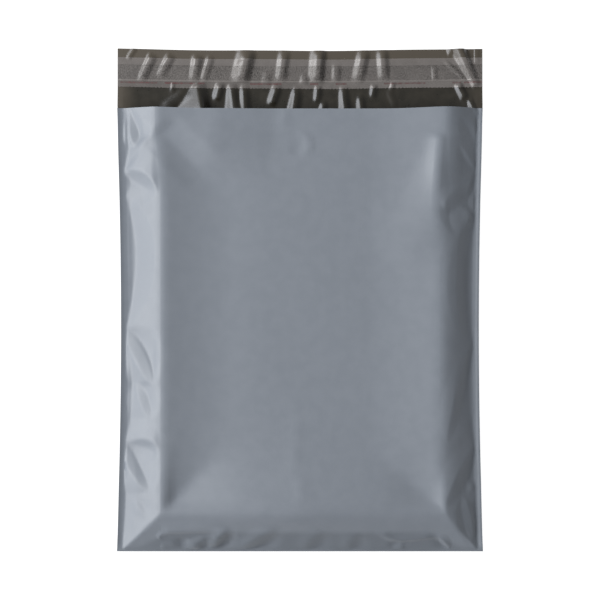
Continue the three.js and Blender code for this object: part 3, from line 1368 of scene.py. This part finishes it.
        # Paler towards the top edge and the sides of the flap; painted light makes it lighter on the left,
        # the lamp's side.
        top = ramp(y, 146.0, 151.0) * (0.92 - 0.08 * x / form.half)
        sides = ramp(np.abs(x) - form.half, -14.0, 2.0) * ramp(y, 116.0, 122.0)
        sides = sides * (0.6 - 0.25 * np.sign(x))
        hazed_and_lit = np.maximum(top, sides)
        # Painted highlight along the front's cut edge at the mouth.
        mouth_highlight_share = np.where(on_front, ramp(y - form.mouth_y, -0.5, -0.1), 0.0)
        # Painted shade: the lip by the bottom fold, narrower towards the sides.
        width = self.lip_shade_width - 10.0 * ramp(np.abs(x), 78.0, 104.0)
        lip_shade_share = ramp(y - form.fold_y - width, 1.0, -3.5) * ramp(width, -12.0, 18.0)
        for vertex, amount, mouth_highlight, lip_shade in zip(bm.verts, hazed_and_lit, mouth_highlight_share, lip_shade_share):
            vertex[haze_and_lamp_light] = amount
            vertex[mouth_highlight_layer] = mouth_highlight
            vertex[lip] = lip_shade


@dataclass
class FlapBand:
    """A band of thin material that lies along the flap, right across it. Millimetres.

    Low and high are its edges along the bag, and it stands that far clear of the film. Its lower
    edge may be ragged by a little.
    """

    form: BagForm
    name: str
    node: str
    slot: Slot
    low: float
    high: float
    stands: float
    thickness: float
    columns: int = 320
    rows: int = 14
    own_folds: tuple[Crease, ...] = ()
    ragged: float = 0.0

    def build(self, finish: bpy.types.Material) -> bpy.types.Object:
        """Lays the band on the flap.

        Args:
            finish: Its material.

        Returns:
            The band.
        """
        bm = unit_grid(self.columns, self.rows)
        flat = places(bm)
        x = mix(-self.form.half, self.form.half, flat[:, 0])
        y = mix(self.low, self.high, flat[:, 1])
        z = self.form.back(x, y) + self.form.film + self.stands + lifted(self.own_folds, x, y)
        tooth = self.ragged * np.sin(x * 2.9) * np.sin(x * 0.37) * (flat[:, 1] < 0.01)
        y = y - self.form.drawn(x, y) + tooth
        put(bm, x, y, z)
        return finished(self.name, bm, [finish], self.thickness, self.node)


LINER_FOLDS = (
    Crease((-40.0, 149.6), (-30.0, 149.6), 0.35, 1.6, 1.6, fade=(0.3, 0.3), rounding=0.3),
    Crease((-114.0, 138.2), (114.0, 138.2), 0.22, 0.7, 0.9, fade=(0.01, 0.01), rounding=0.2),
)


# ---- room ----


@dataclass(frozen=True)
class Studio:
    """A white table, one large soft light on the left and the camera straight above."""

    camera_height: float = 1.1
    table_drop: float = 0.0002
    key_radiance: float = 6.8
    key_width: float = 3.0
    key_tall: float = 1.9
    key_distance: float = 2.6
    key_elevation: float = 38.5
    key_turn: float = 7.0
    sky_strength: float = 0.24
    table_glow: float = 0.96
    view_width: float = 0.3768
    camera_y: float = -0.0003

    def build(self) -> None:
        """Makes the table, the lights and the camera."""
        self.table()
        self.key()
        self.sky()
        self.camera()

    def table(self) -> None:
        """A plain white table, lit from within so that it stays white around the bag."""
        bm = bmesh.new()
        bmesh.ops.create_grid(bm, x_segments=1, y_segments=1, size=3.0)
        bmesh.ops.translate(bm, verts=bm.verts, vec=(0.0, 0.0, -self.table_drop))
        mesh = bpy.data.meshes.new("table")
        bm.to_mesh(mesh)
        bm.free()
        top = bpy.data.objects.new("table", mesh)
        bpy.context.scene.collection.objects.link(top)
        surface = Surface("white_table")
        surface.feed("Base Color", (0.2, 0.2, 0.2))
        surface.feed("Roughness", 0.9)
        surface.feed("Specular IOR Level", 0.0)
        surface.feed("Emission Color", (1.0, 1.0, 1.0))
        surface.feed("Emission Strength", self.table_glow)
        mesh.materials.append(surface.material)

    def key(self) -> None:
        """The soft light, turned a little towards the flap."""
        up, turn = math.radians(self.key_elevation), math.radians(self.key_turn)
        towards = Vector((-math.cos(up) * math.cos(turn), math.cos(up) * math.sin(turn), math.sin(up)))
        data = bpy.data.lights.new("key", "AREA")
        data.shape = "RECTANGLE"
        data.size, data.size_y = self.key_width, self.key_tall
        data.energy = self.key_radiance * math.pi * self.key_width * self.key_tall
        data.color = (1.0, 1.0, 1.0)
        lamp = bpy.data.objects.new("key", data)
        lamp.location = towards * self.key_distance
        lamp.rotation_euler = towards.to_track_quat("Z", "Y").to_euler()
        bpy.context.scene.collection.objects.link(lamp)

    def sky(self) -> None:
        """Dim, even light from all round."""
        world = bpy.data.worlds.new("room")
        world.use_nodes = True
        background = world.node_tree.nodes["Background"]
        background.inputs["Color"].default_value = (1.0, 1.0, 1.0, 1.0)
        background.inputs["Strength"].default_value = self.sky_strength
        bpy.context.scene.world = world

    def camera(self) -> None:
        """The camera, straight above the middle of the bag, with the flap at the top."""
        data = bpy.data.cameras.new("camera")
        data.sensor_width = 36.0
        data.lens = data.sensor_width * self.camera_height / self.view_width
        data.clip_start, data.clip_end = 0.05, 20.0
        eye = bpy.data.objects.new("camera", data)
        eye.location = (0.0, self.camera_y, self.camera_height)
        bpy.context.scene.collection.objects.link(eye)
        bpy.context.scene.camera = eye
        bpy.context.scene.view_settings.view_transform = "Standard"


def in_mm(node: str) -> tuple[Vector, Vector]:
    """The low and high corners of a node's box, in millimetres."""
    low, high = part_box(node)
    return low / MM, high / MM


def main() -> None:
    """Builds the studio and the bag, with the sizes taken from the parts' boxes."""
    logging.basicConfig(level=logging.INFO, format="%(name)s: %(message)s")
    Studio().build()
    low, high = in_mm("film_bag")
    form = BagForm(width=high.x - low.x, length=high.y - low.y, ridge_height=high.z)
    film_grain = FilmGrain().build()
    FilmBag(form).build(GreyFilm().build(film_grain), DarkLining().build(film_grain))

    low, high = in_mm("adhesive_strip")
    glue = FlapBand(
        form, "glue_band", "adhesive_strip", Slot.GLUE, low.y, high.y, stands=0.16, thickness=0.08, rows=8
    )
    glue.build(HotMelt().build())

    liner_finish = ClearLiner(glue_from=glue.low, glue_to=glue.high, half=form.half).build(film_grain)
    low, high = in_mm("release_liner")
    liner = FlapBand(
        form, "release_liner_film", "release_liner", Slot.LINER, low.y, high.y, stands=0.42, thickness=0.05,
        own_folds=LINER_FOLDS, ragged=0.25, rows=40, columns=640,
    ).build(liner_finish)


if __name__ == "__main__":
    main()
